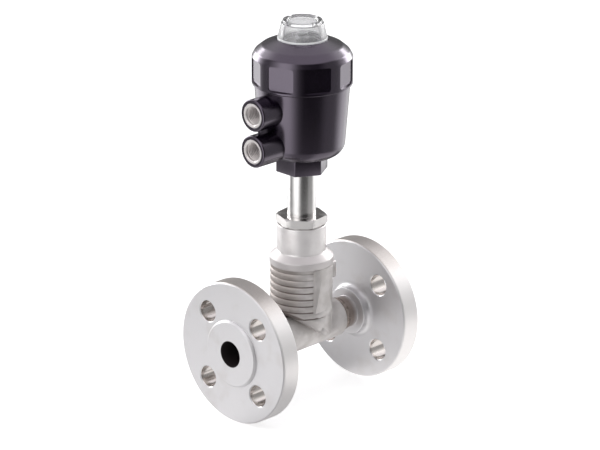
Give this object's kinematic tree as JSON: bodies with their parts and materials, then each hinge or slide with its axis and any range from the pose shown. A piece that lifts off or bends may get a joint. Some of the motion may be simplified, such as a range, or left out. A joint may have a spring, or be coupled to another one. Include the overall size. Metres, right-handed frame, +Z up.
{
  "type": "air-operated globe valve",
  "caption": "Flanged stainless seat valve with a ribbed cast body and a black plastic piston actuator that has side air ports and a clear position cap.",
  "frame": {"origin": "centre of the inlet bore's mouth, in the plane of the inlet raised face", "axes": "+X along the flow from inlet to outlet, +Z up along the stem towards the actuator"},
  "size_m": [0.13, 0.095, 0.259],
  "materials": {
    "cast_steel": "bead-blasted investment casting, turned neck",
    "turned_steel": "fine turned finish",
    "polished_steel": "ground and polished bar and tube",
    "spring_steel": "drawn wire",
    "black_polyamide": "glass-filled moulding, satin",
    "clear_plastic": "clear injection moulding",
    "indicator_plastic": "dark moulding",
    "ptfe": "plain white",
    "filled_ptfe": "dark filled",
    "elastomer": "black moulded rubber",
    "nickel_brass": "nickel-plated, threaded"
  },
  "bodies": {
    "valve_body": {"globe_body": "cast_steel", "inlet_flange": "turned_steel", "outlet_flange": "turned_steel", "body_seal": "filled_ptfe", "bonnet_nipple": "turned_steel", "spindle_tube": "polished_steel", "tube_snap_rings": "spring_steel", "lower_guide_bush": "filled_ptfe", "packing_spring": "spring_steel", "thrust_ring": "turned_steel", "packing_rings": "ptfe", "support_ring": "turned_steel", "gland_bush": "turned_steel", "upper_guide_bush": "filled_ptfe", "stem_seal": "elastomer", "seal_retainer": "turned_steel"},
    "actuator": {"actuator_housing": "black_polyamide", "hub_o_rings": "elastomer", "lower_port_insert": "nickel_brass", "upper_port_insert": "nickel_brass", "actuator_cover": "black_polyamide", "cover_o_ring": "elastomer", "sight_cap": "clear_plastic", "cap_seal": "elastomer", "main_spring": "spring_steel", "inner_spring": "spring_steel"},
    "stem": {"spindle": "polished_steel", "piston": "black_polyamide", "piston_lip_seal": "elastomer", "piston_guide_ring": "ptfe", "piston_washer": "turned_steel", "piston_o_ring": "elastomer", "piston_nut": "turned_steel", "indicator_rod": "indicator_plastic", "indicator_cap": "indicator_plastic"},
    "plate": {"valve_plate": "turned_steel", "seat_seal": "ptfe", "plate_washer": "turned_steel", "plate_screw": "turned_steel", "plate_pins": "turned_steel"}
  },
  "joints": [
    {"name": "stem_stroke", "type": "slide", "parent": "valve_body", "child": "stem", "axis": [0, 0, 1], "range_m": [0, 0.006], "stiffness_N_per_m": 22000, "springref_m": -0.027, "deforming": ["main_spring", "inner_spring"]},
    {"name": "actuator_swivel", "type": "hinge", "parent": "valve_body", "child": "actuator", "pos_m": [0.065, 0, 0.122], "axis": [0, 0, 1], "continuous": true},
    {"name": "plate_swivel", "type": "hinge", "parent": "stem", "child": "plate", "pos_m": [0.065, 0, 0.026], "axis": [0, 0, 1], "continuous": true}
  ]
}
